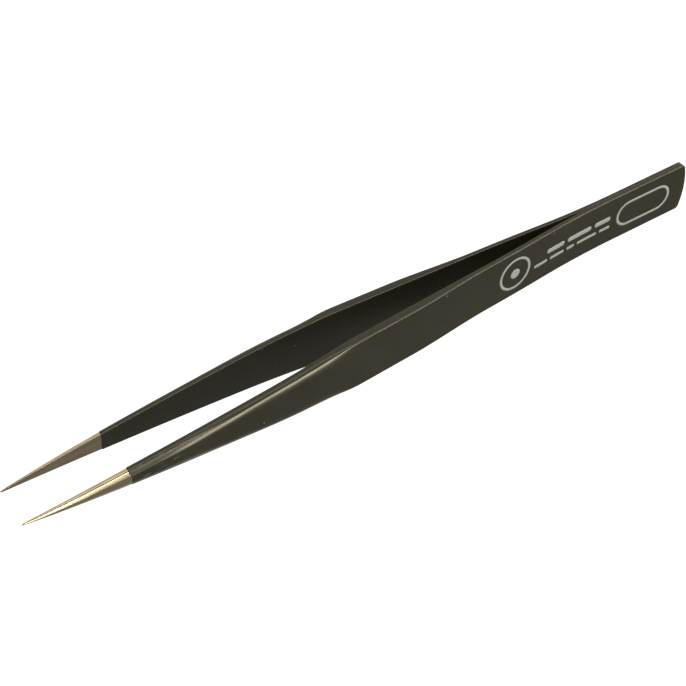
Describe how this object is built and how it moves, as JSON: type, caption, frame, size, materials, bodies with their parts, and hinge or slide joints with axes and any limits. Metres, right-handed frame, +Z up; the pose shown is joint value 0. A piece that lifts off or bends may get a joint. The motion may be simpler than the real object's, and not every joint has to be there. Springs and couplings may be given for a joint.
{
  "type": "precision tweezers",
  "caption": "Straight fine-point tweezers: two bowed spring-steel blades welded at a flat heel, black film over the handle, bare needle tips.",
  "frame": {"origin": "centre of the bounding box in X and Y, at the level of the blade edges that the tweezers stand on", "axes": "+X from the needle tips to the heel, +Y across the opening towards the unprinted blade, +Z up across the blades' width"},
  "size_m": [0.13, 0.0106, 0.01],
  "materials": {
    "steel": "satin ground stainless spring steel, polished on the outer side of the tips",
    "black_film": "satin black sprayed film with a faint olive cast and fine orange peel",
    "grey_ink": "matte light grey printed ink"
  },
  "bodies": {
    "heel": {"near_blade_root": "steel", "far_blade_root": "steel", "spot_welds": "steel", "heel_film": "black_film", "printed_oval": "grey_ink", "printed_bars": "grey_ink"},
    "near_arm": {"near_blade": "steel", "near_film": "black_film", "printed_ring": "grey_ink"},
    "far_arm": {"far_blade": "steel", "far_film": "black_film"}
  },
  "joints": [
    {"name": "near_arm_flex", "type": "hinge", "parent": "heel", "child": "near_arm", "pos_m": [0.0305, -0.0012, 0.005], "axis": [0, 0, -1], "range_deg": [0, 2.14], "stiffness_Nm_per_rad": 0.95},
    {"name": "far_arm_flex", "type": "hinge", "parent": "heel", "child": "far_arm", "pos_m": [0.0305, 0.0012, 0.005], "axis": [0, 0, 1], "range_deg": [0, 2.14], "stiffness_Nm_per_rad": 0.95}
  ]
}
